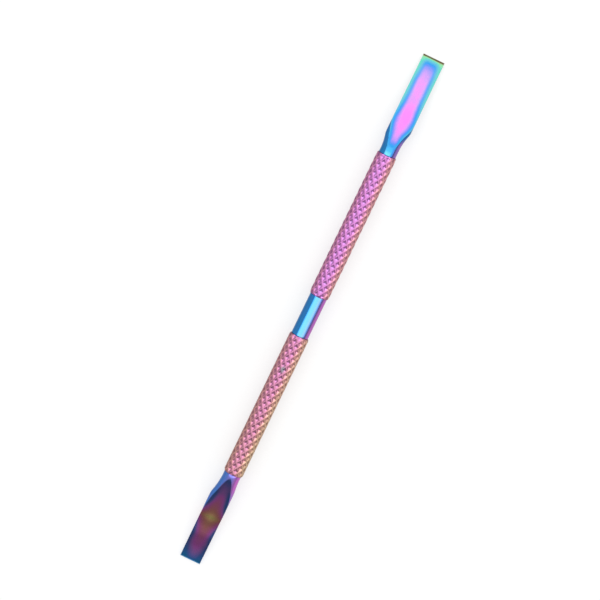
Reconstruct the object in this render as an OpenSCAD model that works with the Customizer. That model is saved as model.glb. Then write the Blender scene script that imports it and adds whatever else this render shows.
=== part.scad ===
// Double-ended cuticle pusher: two knurled grip sleeves joined by a smooth centre band,
// with a flat ground blade set in the outer end of each sleeve.
// Millimetres. X runs along the handle and Z is up. Both blades bend down, so the tool rests on its
// two tips, and the origin lies on the table, straight below the middle of the centre band.

/* [Handle] */
// Diameter of the smooth centre band and of the blade necks
shaft_d = 4; // [3.6:0.1:4.2]
// Diameter over the crests of the knurling
grip_d = 4.6; // [4.4:0.05:5.5]
// Length of each knurled grip sleeve
grip_len = 35; // [25:1:50]
// Length of the smooth centre band that shows between the sleeves
band_len = 10; // [6:1:20]
// Chamfer at both ends of each sleeve, where the knurling runs out
grip_chamfer = 0.2; // [0.1:0.05:0.2]

/* [Blades] */
// Reach of a blade along its own centreline, from the mouth of its sleeve to its tip
blade_reach = 23.5; // [20:0.5:28]
// Width across the shoulders of the pusher blade
pusher_w = 5.3; // [4.9:0.05:5.5]
// Width across the shoulders of the scraper blade
scraper_w = 5.1; // [4.9:0.05:5.5]
// How much narrower each blade is at its tip
taper = 0.25; // [0:0.05:0.3]
// How far the pusher blade sits to the right of its neck, looking out from the handle
pusher_shift = 0.15; // [0:0.05:0.3]
// The same for the scraper blade
scraper_shift = 0.25; // [0:0.05:0.3]
// Blade thickness where the ground face begins to run flat
heel_t = 1.3; // [1.1:0.1:1.5]
// Blade thickness at the tip, behind the edge bevel
tip_t = 0.7; // [0.6:0.1:0.8]
// Downward bend of each blade, in degrees
bend_angle = 8; // [6:1:10]

/* [Joints] */
// Bore through each sleeve
bore_d = 2.6; // [2.2:0.1:2.8]
// Gap all round a tang or spigot in the bore, which the bonding compound fills
bond_gap = 0.02; // [0.01:0.01:0.05]
// Length of a blade's tang inside its sleeve
tang_len = 12; // [8:1:12]
// Length of each of the centre band's two spigots
spigot_len = 9; // [6:1:10]

/* [Hidden] */
$fn = 96;

smooth_colour = "deepskyblue";
knurl_colour = "orchid";

shaft_r = shaft_d / 2;
pin_r = bore_d / 2 - bond_gap;        // radius of every tang and spigot
pin_chamfer = 0.3;                    // lead-in on their ends
band_edge = 0.1;                      // edge break on the centre band's shoulders
sleeve_mouth = band_len / 2 + grip_len;

// Bend of the neck, just outside the sleeve
neck_len = 0.3;
bend_r = 6;
bend_len = bend_r * bend_angle * PI / 180;

// Places along the blade, measured from the end of the bend
blank_len = blade_reach - neck_len - bend_len;
root_len = 0.3;                       // the blank starts this far inside the bent neck
root_step = 0.15;                     // and this much below its surface
flare_start = 1;                      // the round neck begins to widen
flare_curve_r = 12;                   // in a curve of this radius
flare_r = 5;                          // to more than the trimmed sides leave
grind_start = -0.3;                   // the ground face leaves the neck
grind_end = 6.6;                      // and runs flat from here
bevel_len = 0.35;                     // edge bevel at the tip, on the upper face
bevel_drop = 0.3;

// Height of the handle's axis above the table, with the tips' lower edges resting on it
axis_h = bend_r + blank_len * sin(bend_angle) - (bend_r - tip_t / 2) * cos(bend_angle);

// The ground face leaves the neck in a convex curve, then meets the flat in a concave one.
// Both have the radius that makes them touch half way, less a hair so that they always cross.
overlap = 0.002;
entry_h = shaft_r + 0.02;             // the curve starts just clear of the neck
ground_h = heel_t / 2;
ground_drop = entry_h - ground_h;
grind_len = grind_end - grind_start;
curve_r = (grind_len * grind_len / ground_drop + ground_drop) / 4 + overlap;

// Turns a shape made along Z so that it lies along X
module along_x() {
    rotate([0, 90, 0]) children();
}

// A round pin along X from 0 to its chamfered end
module pin(length) {
    along_x() {
        cylinder(r = pin_r, h = length - pin_chamfer);
        translate([0, 0, length - pin_chamfer])
            cylinder(r1 = pin_r, r2 = pin_r - pin_chamfer, h = pin_chamfer);
    }
}

// Smooth band with a spigot at each end
module band() {
    half = band_len / 2;
    color(smooth_colour) {
        along_x() rotate_extrude()
            polygon([
                [0, -half], [shaft_r - band_edge, -half], [shaft_r, band_edge - half],
                [shaft_r, half - band_edge], [shaft_r - band_edge, half], [0, half]
            ]);
        for (turn = [0, 180])
            rotate([0, 0, turn]) translate([half, 0, 0]) pin(spigot_len);
    }
}

// Grip sleeve with a bore right through, standing outwards from the centre band
module grip_sleeve() {
    grip_r = grip_d / 2;
    translate([band_len / 2, 0, 0]) color(knurl_colour) along_x() rotate_extrude()
        polygon([
            [bore_d / 2, 0], [grip_r - grip_chamfer, 0], [grip_r, grip_chamfer],
            [grip_r, grip_len - grip_chamfer], [grip_r - grip_chamfer, grip_len], [bore_d / 2, grip_len]
        ]);
}

// Arc of round neck, bending from +X towards -Z
module neck_bend() {
    translate([neck_len, 0, -bend_r]) rotate([-90, 0, 0]) rotate([0, 0, -90])
        rotate_extrude(angle = bend_angle) translate([bend_r, 0]) circle(r = shaft_r);
}

// Moves a shape to the end of the bend, where X runs along the blade
module on_blade() {
    translate([neck_len, 0, -bend_r]) rotate([0, bend_angle, 0]) translate([0, 0, bend_r]) children();
}

// Round flaring blank, trimmed to the blade's two tapering sides
module blade_blank(width, shift) {
    half = width / 2;
    half_tip = half - taper / 2;
    intersection() {
        along_x() rotate_extrude() difference() {
            polygon([
                [0, -root_len], [shaft_r - root_step, -root_len], [shaft_r + overlap, overlap],
                [shaft_r + overlap, flare_start], [flare_r, flare_start], [flare_r, blank_len], [0, blank_len]
            ]);
            translate([shaft_r + flare_curve_r, flare_start]) circle(r = flare_curve_r);
        }
        translate([0, -shift, -width]) linear_extrude(2 * width)
            polygon([
                [-1, -half], [flare_start, -half], [blank_len + 1, -half_tip],
                [blank_len + 1, half_tip], [flare_start, half], [-1, half]
            ]);
    }
}

// Metal that grinding takes off one face, as a slab across the blade
module grinding(bevel) {
    top = flare_r;
    translate([0, top, 0]) rotate([90, 0, 0]) linear_extrude(2 * top)
        difference() {
            union() {
                polygon([
                    [grind_start, top], [grind_start, ground_h + ground_drop / 2],
                    [grind_end, ground_h + overlap],
                    [blank_len - bevel_len, tip_t / 2], [blank_len, tip_t / 2 - bevel],
                    [blank_len + 1, tip_t / 2 - bevel], [blank_len + 1, top]
                ]);
                translate([grind_end, ground_h + curve_r]) circle(r = curve_r);
            }
            translate([grind_start, entry_h - curve_r]) circle(r = curve_r);
        }
}

// A blade with its neck and tang, standing outwards from the mouth of its sleeve
module blade(width, shift) {
    translate([sleeve_mouth, 0, 0]) color(smooth_colour) {
        difference() {
            union() {
                along_x() cylinder(r = shaft_r, h = neck_len);
                neck_bend();
                on_blade() blade_blank(width, shift);
            }
            on_blade() grinding(bevel_drop);
            on_blade() mirror([0, 0, 1]) grinding(0);
        }
        rotate([0, 0, 180]) pin(tang_len);
    }
}

// Places a piece at the handle's height above the table, turned to face its end of the tool
module at_height(turn) {
    translate([0, 0, axis_h]) rotate([0, 0, turn]) children();
}

module pusher_blade() {
    at_height(0) blade(pusher_w, pusher_shift);
}

module front_grip_sleeve() {
    at_height(0) grip_sleeve();
}

module centre_band() {
    at_height(0) band();
}

module rear_grip_sleeve() {
    at_height(180) grip_sleeve();
}

module scraper_blade() {
    at_height(180) blade(scraper_w, scraper_shift);
}

pusher_blade();
front_grip_sleeve();
centre_band();
rear_grip_sleeve();
scraper_blade();
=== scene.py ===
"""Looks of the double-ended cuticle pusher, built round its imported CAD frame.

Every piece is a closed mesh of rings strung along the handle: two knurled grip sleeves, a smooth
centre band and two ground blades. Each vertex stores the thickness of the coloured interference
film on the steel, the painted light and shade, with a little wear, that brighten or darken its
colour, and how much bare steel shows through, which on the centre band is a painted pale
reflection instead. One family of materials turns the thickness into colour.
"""

import math

import bmesh
import bpy
import numpy as np
from mathutils import Matrix, Vector


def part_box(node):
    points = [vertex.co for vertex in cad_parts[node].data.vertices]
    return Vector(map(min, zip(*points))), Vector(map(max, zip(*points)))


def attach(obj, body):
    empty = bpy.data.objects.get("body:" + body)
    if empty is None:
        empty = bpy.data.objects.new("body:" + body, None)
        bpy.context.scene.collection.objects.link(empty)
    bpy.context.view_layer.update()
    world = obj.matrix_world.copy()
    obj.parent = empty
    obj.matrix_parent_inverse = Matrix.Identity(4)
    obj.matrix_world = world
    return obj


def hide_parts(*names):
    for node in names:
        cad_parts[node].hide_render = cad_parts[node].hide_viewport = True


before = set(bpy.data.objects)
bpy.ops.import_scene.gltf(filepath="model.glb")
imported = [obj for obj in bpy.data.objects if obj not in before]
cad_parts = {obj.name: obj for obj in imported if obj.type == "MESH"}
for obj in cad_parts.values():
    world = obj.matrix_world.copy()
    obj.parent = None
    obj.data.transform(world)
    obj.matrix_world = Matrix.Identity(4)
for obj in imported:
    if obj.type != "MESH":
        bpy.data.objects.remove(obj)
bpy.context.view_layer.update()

MM = 0.001

# Places along the handle, in millimetres from the middle of the centre band
sleeve_low, sleeve_high = (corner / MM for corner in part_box("front_grip_sleeve"))
SLEEVE_START = sleeve_low.x
SLEEVE_MOUTH = sleeve_high.x
GRIP_R = (sleeve_high.y - sleeve_low.y) / 2
AXIS_H = (sleeve_low.z + sleeve_high.z) / 2
SPIGOT_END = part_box("centre_band")[1].x / MM
TANG_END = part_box("pusher_blade")[0].x / MM

# Round parts, in millimetres
SHAFT_R = 2.0
BORE_R = 1.3
PIN_R = 1.28                        # every tang and spigot
PIN_CHAMFER = 0.3
EDGE_BREAK = 0.1
BAND_ROUNDING = 0.04
BAND_POINTS_ROUND = 128
BAND_STEPS = 40

# Knurling: ridges cross at equal and opposite helix angles
RIDGES = 10
RIDGE_DEPTH = 0.23
RIDGE_TOP = 0.02                    # how far from its middle a crest begins to fall, in ridges
RIDGE_FOOT = 0.48                   # and how far out it reaches the root
CREST_WEAR = 0.05                   # a crest is lower than full height by up to twice this share
WEAR_STEP = 1.7                     # radians by which the wear's wave moves on at each crest
WEAR_PER_MM = 0.31                  # and at each millimetre along the sleeve
SAMPLES_PER_RIDGE = 16
KNURL_RUNOUT = 0.35

# Blade, in millimetres along its own centreline from the mouth of its sleeve
BLADE_REACH = 23.5
NECK_LEN = 0.3
BEND_R = 6.0
BEND = math.radians(8)
BEND_END = NECK_LEN + BEND_R * BEND
TAPER = 0.25
GRIND_TOP = SHAFT_R + 0.08
GRIND_ENTRY_H = SHAFT_R + 0.125
CLEAR_OF_NECK = SHAFT_R + 1
HEEL_T = 1.3
TIP_T = 0.7
BEVEL_LEN = 0.35
BEVEL_DROP = 0.3
FACE_CROWN = 0.03
CROWN_START = 3                     # past the start of the grinding
CROWN_FULL = 2                      # past where it runs flat
EDGE_ROUNDING = 0.07
FACE_WIDENS_AT = 3.5
ENTRY_BLEND = 0.2                   # how roundly the grinding leaves the neck
HEEL_BLEND = 0.1                    # and turns flat
SHOULDER_BLEND = 0.12               # and how roundly the flare meets the trimmed sides
SLIMMEST_FACE = SHAFT_R * math.sin(math.radians(3))
FLARE_LIMIT = 0.7                   # share of its radius that a flare's arc is followed for
LEAST_BULGE = 0.002                 # of a flank, past the corner of its face
FACE_STEPS = 28
FLANK_STEPS = 22
NECK_RINGS = 80
FACE_RINGS = 48
FACE_RING_GAP = 0.3


def ramp(x, low, high):
    """Eases from 0 at low to 1 at high."""
    t = np.clip((np.asarray(x, float) - low) / (high - low), 0, 1)
    return t * t * (3 - 2 * t)


def fall(x, low, high):
    """Eases from 1 at low to 0 at high."""
    return 1 - ramp(x, low, high)


def peak(x, at, width):
    """A smooth bump, 1 high."""
    return np.exp(-(((x - at) / width) ** 2))


def soft_min(a, b, blend):
    """The smaller of a and b, with a rounded corner of about that size where they cross."""
    return 0.5 * (a + b - np.sqrt((a - b) ** 2 + blend * blend))


# ---------------------------------------------------------------- meshes

def ring_mesh(name, rings, closed_loop=False):
    """A closed mesh through rings of equally many points.

    In a closed loop the last ring joins the first. Otherwise both ends are capped.
    """
    count = len(rings[0])
    vertices = np.concatenate(rings) * MM
    spans = len(rings) if closed_loop else len(rings) - 1
    i = np.arange(count)
    j = (i + 1) % count
    faces = []
    for k in range(spans):
        a = k * count
        b = ((k + 1) % len(rings)) * count
        faces += np.stack([a + i, b + i, b + j, a + j], 1).tolist()
    if not closed_loop:
        last = (len(rings) - 1) * count
        faces.append(list(range(count)))
        faces.append(list(range(last + count - 1, last - 1, -1)))
    mesh = bpy.data.meshes.new(name)
    mesh.from_pydata(vertices.tolist(), [], faces)
    mesh.validate()
    piece = bpy.data.objects.new(name, mesh)
    bpy.context.scene.collection.objects.link(piece)
    return piece


def round_ring(x, radius, angles):
    """Points round the handle's axis. Angle 0 is along +Y, and a quarter turn is up."""
    radius = np.broadcast_to(radius, angles.shape)
    y = radius * np.cos(angles)
    z = AXIS_H + radius * np.sin(angles)
    return np.stack([np.full_like(angles, x), y, z], 1)


def facing_out(piece):
    """Turns every face outwards."""
    bm = bmesh.new()
    bm.from_mesh(piece.data)
    bmesh.ops.recalc_face_normals(bm, faces=bm.faces)
    bm.to_mesh(piece.data)
    bm.free()


def finished(piece, bevel_mm, sharp_degrees=40):
    """Rounds the sharp edges, applies that, and smooths the shading between the edges left."""
    facing_out(piece)
    if bevel_mm:
        bevel = piece.modifiers.new("edges", "BEVEL")
        bevel.width = bevel_mm * MM
        bevel.segments = 3
        bevel.limit_method = "ANGLE"
        bevel.angle_limit = math.radians(sharp_degrees)
        bevel.miter_outer = "MITER_ARC"
        depsgraph = bpy.context.evaluated_depsgraph_get()
        rounded = bpy.data.meshes.new_from_object(piece.evaluated_get(depsgraph))
        piece.modifiers.clear()
        piece.data = rounded
        rounded.name = piece.name
    piece.data.shade_smooth()
    piece.data.set_sharp_from_angle(angle=math.radians(sharp_degrees))
    return piece


def turned(piece):
    """Turns a piece half round the vertical, so that it faces the other end of the tool."""
    piece.data.transform(Matrix.Rotation(math.pi, 4, "Z"))
    return piece


def knurl_height(x, angles, pitch, slide, turn):
    """How far up its ridges the knurled surface stands, from 0 in a pit to 1 on a crest.

    The pattern repeats every pitch along the sleeve. It is moved outwards by slide, and round the
    sleeve by turn, in ridges.
    """
    around = RIDGES * angles / math.tau + turn
    heights = []
    for lean in (1, -1):
        helix = around + lean * (x - slide) / pitch
        crest = np.round(helix)
        rise = fall(np.abs(helix - crest), RIDGE_TOP, RIDGE_FOOT)
        wave = np.sin(WEAR_STEP * crest + WEAR_PER_MM * x)
        heights.append(rise * (1 - CREST_WEAR + CREST_WEAR * wave))
    return np.maximum(*heights)


def grip(name, pitch, slide, turn):
    """A knurled sleeve bored right through, on the +X side of the band."""
    points_round = RIDGES * SAMPLES_PER_RIDGE
    angles = np.arange(points_round) * math.tau / points_round
    length = SLEEVE_MOUTH - SLEEVE_START
    steps = round(length / pitch * SAMPLES_PER_RIDGE)
    root_r = GRIP_R - RIDGE_DEPTH
    rings = [
        round_ring(SLEEVE_START, BORE_R, angles),
        round_ring(SLEEVE_START, root_r - EDGE_BREAK, angles),
    ]
    for x in np.linspace(SLEEVE_START, SLEEVE_MOUTH, steps + 1):
        from_end = min(x - SLEEVE_START, SLEEVE_MOUTH - x)
        depth = RIDGE_DEPTH * ramp(from_end, -EDGE_BREAK, KNURL_RUNOUT)
        height = depth * knurl_height(x, angles, pitch, slide, turn)
        rings.append(round_ring(x, root_r + height, angles))
    rings.append(round_ring(SLEEVE_MOUTH, root_r - EDGE_BREAK, angles))
    rings.append(round_ring(SLEEVE_MOUTH, BORE_R, angles))
    return finished(ring_mesh(name, rings, closed_loop=True), 0, sharp_degrees=60)


def centre_band(name):
    """The smooth band with its two spigots, turned from one bar."""
    angles = np.arange(BAND_POINTS_ROUND) * math.tau / BAND_POINTS_ROUND
    half = SLEEVE_START
    middle = half - 4 * EDGE_BREAK
    left_end = [
        (-SPIGOT_END, PIN_R - PIN_CHAMFER),
        (-SPIGOT_END + PIN_CHAMFER, PIN_R),
        (-half, PIN_R),
        (-half, SHAFT_R - EDGE_BREAK),
        (-half + EDGE_BREAK, SHAFT_R),
    ]
    profile = left_end + [(x, SHAFT_R) for x in np.linspace(-middle, middle, BAND_STEPS)]
    profile += [(-x, r) for x, r in reversed(left_end)]
    rings = [round_ring(x, r, angles) for x, r in profile]
    return finished(ring_mesh(name, rings), BAND_ROUNDING)


# ---------------------------------------------------------------- blades

def blade_path(s):
    """The centreline at distance s from the sleeve's mouth: x, height above the axis, and slope."""
    angle = np.clip((s - NECK_LEN) / BEND_R, 0, BEND)
    straight = max(s - BEND_END, 0)
    x = min(s, NECK_LEN) + BEND_R * math.sin(angle) + straight * math.cos(angle)
    z = -BEND_R * (1 - math.cos(angle)) - straight * math.sin(angle)
    return x, z, angle


class BladeForm:
    """Outlines of one blade.

    width is across its shoulders, and shift is how far it sits to the right of its neck. Its left
    and right sides leave the neck at the two flares, along arcs of radius flare_r. The grinding
    runs from start to flat, and the ground face reaches the left and right sides at the two
    places in full. Side 1 is the left, looking out from the handle, and side -1 the right.
    """

    def __init__(self, width, shift, flares, flare_r, start, flat, full):
        self.width = width
        self.shift = shift
        self.flares = {1: flares[0], -1: flares[1]}
        self.flare_r = flare_r
        self.start = start
        self.flat = flat
        self.full = {1: full[0], -1: full[1]}

    def height(self, s, bevelled):
        """Height of the upper face above the centreline.

        It falls steeply into the blade as far as flat, and then slightly. Before start there is no
        ground face, and the height is clear of the neck.
        """
        if s < self.start:
            return CLEAR_OF_NECK
        heel = HEEL_T / 2
        bevel_start = BLADE_REACH - BEVEL_LEN
        down_slope = (s - self.start) / (self.flat - self.start)
        along_face = min((s - self.flat) / (bevel_start - self.flat), 1)
        steep = soft_min(GRIND_ENTRY_H + (heel - GRIND_ENTRY_H) * down_slope, GRIND_TOP, ENTRY_BLEND)
        slight = heel + (TIP_T / 2 - heel) * along_face
        height = -float(soft_min(-steep, -slight, HEEL_BLEND))
        if bevelled and s > bevel_start:
            height -= BEVEL_DROP * (s - bevel_start) / BEVEL_LEN
        return height

    def side(self, s, side):
        """Distance from the centreline to the blade's widest on that side."""
        run = min(s - self.flares[side], FLARE_LIMIT * self.flare_r)
        if run <= 0:
            return SHAFT_R
        flared = SHAFT_R + self.flare_r - math.sqrt(self.flare_r**2 - run**2)
        taper = np.clip((s - BEND_END) / (BLADE_REACH - BEND_END), 0, 1)
        trimmed = (self.width - TAPER * taper) / 2 - side * self.shift
        return float(soft_min(flared, trimmed, SHOULDER_BLEND))

    def face(self, s, side):
        """Distance from the centreline to the edge of the ground face on that side.

        On the round neck, a slim strip along the top stands for the face.
        """
        chord = math.sqrt(max(SHAFT_R**2 - self.height(s, False) ** 2, 0))
        chord = max(chord, SLIMMEST_FACE)
        widened = float(ramp(s, FACE_WIDENS_AT, self.full[side]))
        return chord + (self.side(s, side) - chord) * widened

    def section(self, s):
        """Outline across the centreline at distance s, as (y, z), from the upper left corner."""
        crown = FACE_CROWN * float(ramp(s, self.start + CROWN_START, self.flat + CROWN_FULL))
        left, right = (self.face(s, side) for side in (1, -1))
        y = np.linspace(left, -right, FACE_STEPS + 1)
        across = (2 * y - left + right) / (left + right)
        faces = {}
        for up in (1, -1):
            ground = self.height(s, bevelled=up == 1)
            least = ground**2 if s > self.start else 0
            on_neck = np.sqrt(np.maximum(SHAFT_R**2 - y**2, least))
            z = np.minimum(ground, on_neck) - crown * across**4
            faces[up] = np.stack([y, up * z], 1)
        right_flank = self.flank(faces, -1, self.side(s, -1))
        left_flank = self.flank(faces, 0, self.side(s, 1))
        return np.concatenate([faces[1], right_flank, faces[-1][::-1], left_flank[::-1]])

    def flank(self, faces, corner, widest):
        """The rounded side between a corner of the upper face and the same one of the lower."""
        (y, top), (_, bottom) = faces[1][corner], faces[-1][corner]
        side = math.copysign(1, y)
        inner = abs(y)
        bulge = max(widest - inner, LEAST_BULGE)
        height = (top - bottom) / 2
        centre = (widest**2 - inner**2 - height**2) / (2 * bulge)
        half_angle = math.atan2(height, inner - centre)
        angles = np.linspace(half_angle, -half_angle, FLANK_STEPS + 1)[1:-1]
        reach = widest - centre
        middle = (top + bottom) / 2
        return np.stack([side * (centre + reach * np.cos(angles)), middle + reach * np.sin(angles)], 1)

    def ring(self, s):
        """The outline at distance s, in its place on the bent centreline."""
        x, z, angle = blade_path(s)
        outline = self.section(s)
        return np.stack([
            SLEEVE_MOUTH + x + outline[:, 1] * math.sin(angle),
            outline[:, 0],
            AXIS_H + z + outline[:, 1] * math.cos(angle),
        ], 1)


PUSHER = BladeForm(
    width=5.3, shift=0.10, flares=(0.8, 1.9), flare_r=12, start=0.35, flat=7.5, full=(8.6, 8.6),
)
SCRAPER = BladeForm(
    width=5.1, shift=0.25, flares=(0.7, 0.7), flare_r=20, start=0.85, flat=8.3, full=(9.6, 12.6),
)


def blade(name, form):
    """A ground blade with its neck and tang, on the +X side of the tool."""
    neck = form.section(0)
    angles = np.arctan2(neck[:, 1], neck[:, 0])
    tang = [
        (TANG_END, PIN_R - PIN_CHAMFER),
        (TANG_END + PIN_CHAMFER, PIN_R),
        (SLEEVE_MOUTH, PIN_R),
        (SLEEVE_MOUTH, SHAFT_R - EDGE_BREAK),
    ]
    rings = [round_ring(x, radius, angles) for x, radius in tang]
    shoulders = max(form.full.values())
    stations = np.concatenate([
        np.linspace(EDGE_BREAK, shoulders, NECK_RINGS),
        np.linspace(shoulders + FACE_RING_GAP, BLADE_REACH - BEVEL_LEN, FACE_RINGS),
        [BLADE_REACH],
    ])
    rings += [form.ring(s) for s in stations]
    return finished(ring_mesh(name, rings), EDGE_ROUNDING, sharp_degrees=28)


# ---------------------------------------------------------------- film
#
# Each film function gives three values for every point: the film's thickness, as a place on the
# ramp FILM_COLOURS, the painted light and shade, with a little wear, by which its colour is
# brightened or darkened, and the share of bare steel, which on the centre band is a painted pale
# reflection.
# q is a point's place across a round part, from -1 on its left to 1 on its right. s and the other
# distances on a blade are in millimetres.

SCUFF = np.array((-13.2, 0.1, AXIS_H + GRIP_R))     # a worn patch on top of the rear grip
SCUFF_SIZE = (0.8, 0.5, 0.5)
GOLD_AT = 11.8                      # the golden spot on the scraper, which carries a painted highlight, from its sleeve's mouth


def grip_film(points, near, far):
    """Film on a grip sleeve, of thickness near beside the band and far beside the blade, with painted
    light and shade on its knurls.
    """
    along = ramp(np.abs(points[:, 0]), SLEEVE_START, SLEEVE_MOUTH)
    radius = np.hypot(points[:, 1], points[:, 2] - AXIS_H)
    q = -points[:, 1] / GRIP_R
    beside = ramp(np.abs(q), 0.3, 0.8)
    pit = ramp((GRIP_R - radius) / RIDGE_DEPTH, 0.2 - 0.2 * beside, 1 - 0.5 * beside)
    thickness = near + (far - near) * along + 0.05 * pit
    thickness -= 0.10 * ramp(-q, 0.25, 0.95) + 0.19 * ramp(q, 0.1, 0.85)
    # Painted light and shade: brighter towards the sides, with the pits painted lighter along the top
    # and painted dark, as shade, towards the sides.
    painted_light_and_wear = 0.87 + 0.36 * beside + pit * (0.4 - 1.05 * beside)
    # Painted light, brightening the grip's right side.
    painted_light_and_wear *= 1 + 0.43 * ramp(q, 0.2, 0.55)
    scuffed = np.exp(-((((points - SCUFF) / SCUFF_SIZE) ** 2).sum(1) ** 1.5))
    return thickness, painted_light_and_wear * (1 - 0.2 * scuffed), 0.30 + 0.70 * scuffed


def front_grip_film(points):
    """The front grip is magenta."""
    return grip_film(points, near=0.38, far=0.38)


def rear_grip_film(points):
    """The rear grip is rose, and nearer to copper towards its blade."""
    return grip_film(points, near=0.30, far=0.25)


def band_film(points):
    """Film on the centre band: cyan along the top with a painted highlight there, and a painted pale
    grey reflection beside it.
    """
    q = -points[:, 1] / SHAFT_R
    off_top = np.abs(q - 0.06)
    top = fall(off_top, 0.2, 0.45)
    thickness = 0.63 + 0.14 * top - 0.22 * ramp(q, 0.3, 0.85)
    # A painted highlight along the top.
    painted_light_and_wear = 1 + 0.4 * fall(off_top, 0.3, 0.5)
    # The grey share pales the painted highlight along the top, and paints a pale grey reflection to
    # the right of it.
    return thickness, painted_light_and_wear, 0.07 * top + 0.28 * peak(q, 0.34, 0.17)


def blade_place(points, form):
    """Where points are on a blade.

    This gives the distance from the sleeve's mouth, the distance in from the face's nearer edge,
    and the share of the way from the middle of the face to that edge.
    """
    s = (np.abs(points[:, 0]) - SLEEVE_MOUTH) / math.cos(BEND)
    y = points[:, 1] * np.sign(points[:, 0])
    left, right = (np.array([form.face(v, side) for v in s]) for side in (1, -1))
    inset = np.minimum(left - y, right + y)
    return s, inset, 1 - np.clip(2 * inset / (left + right), 0, 1)


def face_share(s, inset, form):
    """1 where a blade's surface is ground flat, and 0 on its neck and its flanks."""
    return ramp(inset, -0.12, 0.03) * ramp(s, form.start, form.start + 0.9)


def joined(face, round_part, share):
    """The film's thickness on a blade, from that on its ground face and that on its round part."""
    return np.clip(face * share + round_part * (1 - share), 0, 1)


def pusher_film(points):
    """Film on the pusher: thinnest down the middle of its face, thick at its edges and tip."""
    s, inset, _ = blade_place(points, PUSHER)
    to_tip = np.maximum(BLADE_REACH - s, 0)
    middle = 0.40 + 0.12 * fall(s, 1.0, 2.3) + 0.16 * fall(s, 1.8, 4.0) + 0.10 * fall(s, 3, 7.2)
    middle += 0.03 * ramp(s, 8, 17)
    reach_in = 0.6 + 1.5 * ramp(s, 2, 6.6) + 0.6 * ramp(s, 17, 22)
    edges = 0.36 * (1 - np.clip(inset / reach_in, 0, 1)) ** 1.75
    edges += 0.12 * ramp(s, 8, 15) * fall(inset, 0.5, 1.7)
    tip = 0.60 * np.exp(-to_tip / 1.25) + 0.045 * np.exp(-to_tip / 6)
    thickest = 0.66 + 0.23 * ramp(s, 3.5, 10)
    rim = 0.04 * fall(to_tip, 0.4, 1.6) + 0.10 * fall(to_tip, 0.15, 0.5)
    face = np.minimum(middle + np.hypot(edges, tip), thickest) + rim
    q = -points[:, 1] / SHAFT_R
    top = fall(np.abs(q), 0.2, 0.5)
    round_part = 0.63 + 0.16 * top - 0.15 * ramp(q, 0.3, 0.85) * fall(s, 3, 6)
    share = face_share(s, inset, PUSHER)
    bare_and_sheen = 0.03 + 0.10 * ramp(inset, 0.5, 1.2) + 0.08 * peak(inset, 1.4, 0.4)
    bare_and_sheen *= ramp(s, 9, 15) * ramp(to_tip, 1.2, 3.5)
    # Brighter where bare steel shows, with a painted highlight along the top of the round neck that
    # fades where the ground face begins.
    painted_light_and_wear = 1 + 0.5 * bare_and_sheen + 0.4 * top * (1 - share * ramp(s, 1.2, 2.4))
    return joined(face, round_part, share), painted_light_and_wear, bare_and_sheen * share


def scraper_film(points):
    """Film on the scraper: golden half way along, thicker towards its edges and both ends."""
    s, inset, across = blade_place(points, SCRAPER)
    from_gold = s - GOLD_AT
    per_mm = np.where(from_gold > 0, 0.034, -0.044)
    along = 0.02 + 0.11 * (1 - np.exp(-np.abs(from_gold) / 0.7)) + per_mm * from_gold
    # Deepens the gold in the middle of the face, and also carries a painted highlight there.
    gold_and_highlight_spot = 0.05 * peak(across, 0, 0.4) * peak(from_gold, 0, 0.9)
    edges = 0.45 * across**2 * ramp(s, 3, 8)
    edges *= 1 - 0.55 * peak(from_gold, 0, 2.6) - 0.5 * ramp(s, 16, 19)
    tip = 0.12 * np.exp(-np.maximum(BLADE_REACH - s, 0) / 1.2)
    face = np.minimum(along - gold_and_highlight_spot + edges, 0.57) + tip
    # Brightness of the face, lighter and darker by turns along its length.
    face_brightness_and_highlight = 0.67 + 0.15 * ramp(s, 4, 8) + 0.30 * ramp(s, 13, 15) - 0.40 * ramp(s, 15.5, 17.5)
    face_brightness_and_highlight += 0.25 * ramp(s, 19, 21) + 0.28 * ramp(s, 20.8, 22.6)
    # A painted highlight on the golden spot, and painted shade towards the face's edges.
    face_brightness_and_highlight += 12 * gold_and_highlight_spot - 0.10 * across**2
    q = -points[:, 1] / SHAFT_R
    round_part = 0.53 + 0.05 * ramp(-q, 0.1, 0.7)
    round_part -= 0.14 * ramp(q, 0.1, 0.9) * (1 - 0.5 * ramp(s, 2, 6))
    # A painted highlight on the round neck just past the sleeve, to the right of its top.
    round_painted_highlight = 1.1 + 0.5 * peak(q, 0.33, 0.2) * fall(s, 1, 3)
    share = face_share(s, inset, SCRAPER)
    painted_light_and_wear = face_brightness_and_highlight * share + round_painted_highlight * (1 - share)
    return joined(face, round_part, share), painted_light_and_wear, np.zeros(len(s))


def coat(piece, film_of):
    """Stores on the piece's vertices the film's thickness, its painted light and shade, and the share
    of bare steel, which on the band is a painted pale reflection.
    """
    mesh = piece.data
    points = np.empty(len(mesh.vertices) * 3)
    mesh.vertices.foreach_get("co", points)
    points = points.reshape(-1, 3) / MM
    for name, values in zip(("film", "painted_light_and_wear", "bare_and_sheen"), film_of(points)):
        attribute = mesh.attributes.new(name, "FLOAT", "POINT")
        attribute.data.foreach_set("value", values.astype(np.float32))


# ---------------------------------------------------------------- materials

FILM_COLOURS = [
    (0.00, (0.50, 0.40, 0.15)),     # olive gold
    (0.10, (0.68, 0.38, 0.20)),     # gold
    (0.20, (0.70, 0.26, 0.24)),     # copper rose
    (0.30, (0.72, 0.20, 0.42)),     # rose
    (0.40, (0.70, 0.18, 0.70)),     # magenta
    (0.46, (0.46, 0.22, 0.68)),     # orchid
    (0.52, (0.22, 0.20, 0.63)),     # lilac
    (0.58, (0.08, 0.20, 0.60)),     # indigo
    (0.64, (0.025, 0.24, 0.58)),    # azure
    (0.72, (0.07, 0.30, 0.50)),     # sky
    (0.80, (0.10, 0.38, 0.46)),     # cyan
    (0.88, (0.09, 0.45, 0.38)),     # aqua
    (0.94, (0.20, 0.50, 0.26)),     # green
    (1.00, (0.24, 0.19, 0.09)),     # olive brown
]
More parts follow.
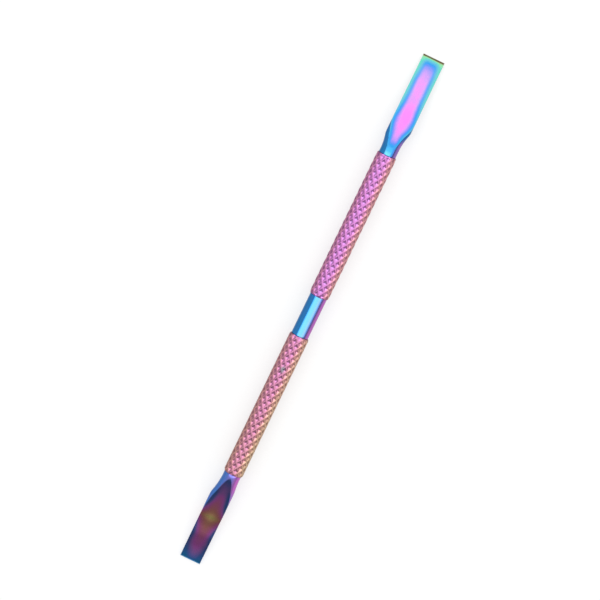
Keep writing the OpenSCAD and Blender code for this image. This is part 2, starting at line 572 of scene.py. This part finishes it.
# Steel grey, for bare steel and for the painted pale reflection on the centre band.
BARE_STEEL_AND_SHEEN = (0.33, 0.32, 0.36, 1)
CLOUDS_PER_MM = 0.35                # broad unevenness of the film and the polish
SPECKS_PER_MM = 3.0                 # fine unevenness of the film
LINES_PER_MM = 6.0                  # polishing lines
LINE_DEPTH = 0.02


class Nodes:
    """Short calls for building one node tree."""

    def __init__(self, tree):
        self.tree = tree
        tree.nodes.clear()

    def add(self, kind, **settings):
        """A new node, with its sockets and properties set by name."""
        node = self.tree.nodes.new(kind)
        for key, value in settings.items():
            if key in node.inputs:
                node.inputs[key].default_value = value
            else:
                setattr(node, key, value)
        return node

    def link(self, source, target):
        self.tree.links.new(source, target)

    def feed(self, sockets, values):
        """Sets each socket to its value, or links it to the output given instead."""
        for socket, value in zip(sockets, values):
            if isinstance(value, (int, float, tuple)):
                socket.default_value = value
            else:
                self.link(value, socket)

    def math(self, operation, *values):
        node = self.add("ShaderNodeMath", operation=operation)
        self.feed(node.inputs, values)
        return node.outputs["Value"]

    def between(self, value, low, high, start=0.0, end=1.0, interpolation="LINEAR"):
        """Goes from low to high as value goes from start to end."""
        node = self.add("ShaderNodeMapRange", interpolation_type=interpolation)
        names = ("Value", "From Min", "From Max", "To Min", "To Max")
        self.feed([node.inputs[name] for name in names], (value, start, end, low, high))
        return node.outputs["Result"]

    def mixed(self, share, first, second):
        """The two shaders mixed, with that share of the second."""
        mix = self.add("ShaderNodeMixShader")
        self.feed(mix.inputs, (share, first, second))
        return mix.outputs["Shader"]

    def blend(self, share, first, second):
        """The two colours mixed, with that share of the second."""
        mix = self.add("ShaderNodeMix", data_type="RGBA")
        colours = [socket for socket in mix.inputs if socket.type == "RGBA"]
        self.feed([mix.inputs[0], *colours], (share, first, second))
        return next(socket for socket in mix.outputs if socket.type == "RGBA")

    def noise(self, coordinates, per_mm, detail, stretch=(1, 1, 1)):
        """Noise from 0 to 1, with about that many blotches to the millimetre.

        stretch is how many times longer they are drawn out along x, y and z.
        """
        mapping = self.add("ShaderNodeMapping", Scale=[per_mm / MM / k for k in stretch])
        self.link(coordinates, mapping.inputs["Vector"])
        noise = self.add("ShaderNodeTexNoise", Scale=1.0, Detail=detail)
        self.link(mapping.outputs["Vector"], noise.inputs["Vector"])
        return noise.outputs["Fac"]

    def colour_ramp(self, value, colours):
        """The colour at that place on a ramp of (place, rgb) pairs."""
        node = self.add("ShaderNodeValToRGB")
        stops = node.color_ramp.elements
        while len(stops) < len(colours):
            stops.new(0.5)
        for stop, (place, rgb) in zip(stops, colours):
            stop.position = place
            stop.color = (*rgb, 1)
        self.link(value, node.inputs["Fac"])
        return node.outputs["Color"]


def film_material(name, roughness, mottle, lay, lay_strength):
    """Polished steel under an interference film.

    The polish varies between the two values of roughness. mottle is the unevenness of the film,
    and lay is how far the fine polishing lines are drawn out along x, y and z.
    """
    material = bpy.data.materials.new(name)
    material.use_nodes = True
    nodes = Nodes(material.node_tree)
    place = nodes.add("ShaderNodeTexCoord").outputs["Object"]
    film, painted_light_and_wear, bare_and_sheen = (
        nodes.add("ShaderNodeAttribute", attribute_name=key).outputs["Fac"]
        for key in ("film", "painted_light_and_wear", "bare_and_sheen")
    )
    clouds = nodes.noise(place, CLOUDS_PER_MM, 3.0)
    specks = nodes.noise(place, SPECKS_PER_MM, 1.0)
    lines = nodes.noise(place, LINES_PER_MM, 2.0, stretch=lay)

    cloudy = nodes.math("MULTIPLY", clouds, 2 * mottle)
    speckled = nodes.math("MULTIPLY", specks, mottle)
    uneven = nodes.math("SUBTRACT", nodes.math("ADD", cloudy, speckled), 1.5 * mottle)
    colour = nodes.colour_ramp(nodes.math("ADD", film, uneven), FILM_COLOURS)
    # The painted light and shade scale the colour after the grey share is mixed in.
    brightened = nodes.add("ShaderNodeVectorMath", operation="SCALE")
    nodes.link(nodes.blend(bare_and_sheen, colour, BARE_STEEL_AND_SHEEN), brightened.inputs[0])
    nodes.link(painted_light_and_wear, brightened.inputs["Scale"])

    fine = nodes.math("MULTIPLY", lines, 0.6)
    broad = nodes.math("MULTIPLY", clouds, 0.4)
    polish = nodes.between(nodes.math("ADD", fine, broad), *roughness)
    bump = nodes.add("ShaderNodeBump", Strength=lay_strength, Distance=LINE_DEPTH * MM)
    nodes.link(lines, bump.inputs["Height"])

    metal = nodes.add("ShaderNodeBsdfPrincipled", Metallic=1.0)
    nodes.link(brightened.outputs["Vector"], metal.inputs["Base Color"])
    nodes.link(polish, metal.inputs["Roughness"])
    nodes.link(bump.outputs["Normal"], metal.inputs["Normal"])
    output = nodes.add("ShaderNodeOutputMaterial")
    nodes.link(metal.outputs["BSDF"], output.inputs["Surface"])
    return material


# ---------------------------------------------------------------- the object

def stand_for(node, piece, film_of, material):
    """Coats a piece in its film and its material, and puts it in the place of a CAD node."""
    coat(piece, film_of)
    piece.data.materials.append(material)
    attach(piece, "root")
    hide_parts(node)


def build_object():
    """Makes the five pieces."""
    ground = film_material(
        "ground_film", roughness=(0.10, 0.20), mottle=0.045, lay=(12, 1, 1), lay_strength=0.15,
    )
    smooth = film_material(
        "turned_film", roughness=(0.10, 0.18), mottle=0.02, lay=(1, 12, 12), lay_strength=0.12,
    )
    knurled = film_material(
        "knurled_film", roughness=(0.24, 0.36), mottle=0.02, lay=(1, 1, 1), lay_strength=0.25,
    )
    pusher = blade("pusher_blade_ground", PUSHER)
    scraper = turned(blade("scraper_blade_ground", SCRAPER))
    front = grip("front_grip_knurled", pitch=2.0, slide=0.41, turn=0)
    rear = turned(grip("rear_grip_knurled", pitch=1.97, slide=-0.5, turn=0.25))
    band = centre_band("centre_band_turned")
    stand_for("pusher_blade", pusher, pusher_film, ground)
    stand_for("scraper_blade", scraper, scraper_film, ground)
    stand_for("front_grip_sleeve", front, front_grip_film, knurled)
    stand_for("rear_grip_sleeve", rear, rear_grip_film, knurled)
    stand_for("centre_band", band, band_film, smooth)


# ---------------------------------------------------------------- studio

CENTRE = Vector((0, 0, AXIS_H * MM))
VIEW_TILT = math.radians(10.5)      # the camera leans towards the pusher blade
VIEW_ROLL = math.radians(25.77)     # and is rolled, so that the tool leans to the right
VIEW_DISTANCE = 0.70
LENS = 189.0
SENSOR = 36.0
AIM_LEFT = 2.06                     # how far past the middle of the tool it looks, in millimetres
AIM_UP = 3.48
SOFTBOX_TILT = math.radians(19)     # from straight up, towards the pusher blade
SOFTBOX_DISTANCE = 0.6
SOFTBOX_ALONG = math.radians(41)    # its reach both ways along the tool
SOFTBOX_LEFT = math.radians(45)     # to the tool's left
SOFTBOX_RIGHT = math.radians(67)    # and to its right
SOFTBOX_RADIANCE = 1.05
FILL_DISTANCE = 1.6
FILL_REACH = math.radians(30)
FILL_RADIANCE = 0.45
TENT_RADIANCE = 0.60
TENT_LEAN = 0.18                    # brighter by this on the tool's +Y side, dimmer on the other
OPENING_RADIANCE = 0.27
OPENING_TILT = math.radians(54)     # from straight up, towards the scraper blade
OPENING_RADIUS = math.radians(28)
OPENING_BLUR = math.radians(4)
FLOOR_HALF = 2.0
FLOOR_GRAIN_PER_MM = 0.8
FLOOR_SHADES = (0.90, 0.93)
FLOOR_RADIANCE = 0.65               # of the paper, as the metal reflects it
FLOOR_BACKLIGHT = 0.97              # and as the camera sees the light that comes up through it
FLOOR_BACKLIT = 0.6                 # share of the paper's look which that light makes up near the tool
FLOOR_FADE = (0.3, 1.2)             # metres from the tool over which that share grows to all of it


def paper_floor():
    """A plain pale sheet under the tool."""
    corners = [(x * FLOOR_HALF, y * FLOOR_HALF, 0) for x, y in ((-1, -1), (1, -1), (1, 1), (-1, 1))]
    mesh = bpy.data.meshes.new("floor")
    mesh.from_pydata(corners, [], [(0, 1, 2, 3)])
    floor = bpy.data.objects.new("floor", mesh)
    bpy.context.scene.collection.objects.link(floor)
    material = bpy.data.materials.new("paper")
    material.use_nodes = True
    nodes = Nodes(material.node_tree)
    place = nodes.add("ShaderNodeTexCoord").outputs["Object"]
    tint = nodes.between(nodes.noise(place, FLOOR_GRAIN_PER_MM, 4.0), *FLOOR_SHADES)
    paper = nodes.add("ShaderNodeBsdfPrincipled", Roughness=0.9)
    paper.inputs["Specular IOR Level"].default_value = 0.0
    nodes.link(tint, paper.inputs["Base Color"])
    backlight = nodes.add("ShaderNodeEmission", Strength=FLOOR_BACKLIGHT).outputs["Emission"]
    away = nodes.add("ShaderNodeVectorMath", operation="LENGTH")
    nodes.link(place, away.inputs[0])
    share = nodes.between(away.outputs["Value"], FLOOR_BACKLIT, 1.0, *FLOOR_FADE, "SMOOTHSTEP")
    lit = nodes.mixed(share, paper.outputs["BSDF"], backlight)
    reflected = nodes.add("ShaderNodeEmission", Strength=FLOOR_RADIANCE).outputs["Emission"]
    in_metal = nodes.add("ShaderNodeLightPath").outputs["Is Glossy Ray"]
    output = nodes.add("ShaderNodeOutputMaterial")
    nodes.link(nodes.mixed(in_metal, lit, reflected), output.inputs["Surface"])
    floor.data.materials.append(material)


def studio_world():
    """Pale to the camera. In the metal's reflections, a soft white tent with one dark opening."""
    world = bpy.data.worlds.new("studio")
    bpy.context.scene.world = world
    world.use_nodes = True
    nodes = Nodes(world.node_tree)
    direction = nodes.add("ShaderNodeTexCoord").outputs["Generated"]
    towards = nodes.add("ShaderNodeVectorMath", operation="DOT_PRODUCT")
    towards.inputs[1].default_value = (-math.sin(OPENING_TILT), 0, math.cos(OPENING_TILT))
    nodes.link(direction, towards.inputs[0])
    axes = nodes.add("ShaderNodeSeparateXYZ")
    nodes.link(direction, axes.inputs["Vector"])
    tent = nodes.math("MULTIPLY_ADD", axes.outputs["Y"], TENT_LEAN, TENT_RADIANCE)
    outside = math.cos(OPENING_RADIUS + OPENING_BLUR)
    inside = math.cos(OPENING_RADIUS - OPENING_BLUR)
    radiance = nodes.between(
        towards.outputs["Value"], tent, OPENING_RADIANCE, outside, inside, "SMOOTHSTEP",
    )
    room = nodes.add("ShaderNodeBackground", Color=(1, 1, 1, 1))
    nodes.link(radiance, room.inputs["Strength"])
    seen = nodes.add("ShaderNodeBackground", Color=(1, 1, 1, 1), Strength=FLOOR_BACKLIGHT)
    to_camera = nodes.add("ShaderNodeLightPath").outputs["Is Camera Ray"]
    output = nodes.add("ShaderNodeOutputWorld")
    surface = nodes.mixed(to_camera, room.outputs["Background"], seen.outputs["Background"])
    nodes.link(surface, output.inputs["Surface"])


def facing(right, up, back, place):
    """The matrix of something at place that looks away from back."""
    matrix = Matrix((right, up, back)).transposed().to_4x4()
    matrix.translation = place
    return matrix


def softbox(name, tilt, distance, along_reach, left_reach, right_reach, radiance):
    """A flat rectangular lamp that faces the tool.

    tilt is its direction from straight up, towards the pusher blade. From there it reaches out by
    the other three angles: both ways along the tool, to its left and to its right.
    """
    left = distance * math.tan(left_reach)
    right = distance * math.tan(right_reach)
    lamp = bpy.data.lights.new(name, "AREA")
    lamp.shape = "RECTANGLE"
    lamp.size = 2 * distance * math.tan(along_reach)
    lamp.size_y = left + right
    lamp.energy = radiance * math.pi * lamp.size * lamp.size_y
    light = bpy.data.objects.new(name, lamp)
    bpy.context.scene.collection.objects.link(light)
    back = Vector((math.sin(tilt), 0, math.cos(tilt)))
    along = Vector((0, 1, 0)).cross(back)
    aside = Vector((0, (left - right) / 2, 0))
    light.matrix_world = facing(along, back.cross(along), back, CENTRE + distance * back + aside)
    light.visible_camera = False
    return light


def lights():
    """One wide softbox over the tool, and a fill that only the paper takes."""
    softbox(
        "overhead", SOFTBOX_TILT, SOFTBOX_DISTANCE, SOFTBOX_ALONG, SOFTBOX_LEFT, SOFTBOX_RIGHT,
        SOFTBOX_RADIANCE,
    )
    fill = softbox("paper_fill", 0, FILL_DISTANCE, FILL_REACH, FILL_REACH, FILL_REACH, FILL_RADIANCE)
    fill.visible_glossy = False
    fill.data.use_shadow = False


def camera():
    """Looks down on the tool, leaning towards its pusher end."""
    back = Vector((math.sin(VIEW_TILT), 0, math.cos(VIEW_TILT)))
    ahead = Vector((math.cos(VIEW_TILT), 0, -math.sin(VIEW_TILT)))
    right = Vector((0, -1, 0))
    up = math.cos(VIEW_ROLL) * ahead - math.sin(VIEW_ROLL) * right
    across_view = math.cos(VIEW_ROLL) * right + math.sin(VIEW_ROLL) * ahead
    data = bpy.data.cameras.new("camera")
    data.lens = LENS
    data.sensor_width = SENSOR
    data.clip_start = 0.01
    data.clip_end = 20
    view = bpy.data.objects.new("camera", data)
    bpy.context.scene.collection.objects.link(view)
    aim = CENTRE - AIM_LEFT * MM * across_view + AIM_UP * MM * up
    view.matrix_world = facing(across_view, up, back, aim + VIEW_DISTANCE * back)
    bpy.context.scene.camera = view


build_object()
paper_floor()
studio_world()
lights()
camera()
bpy.context.scene.view_settings.view_transform = "Standard"
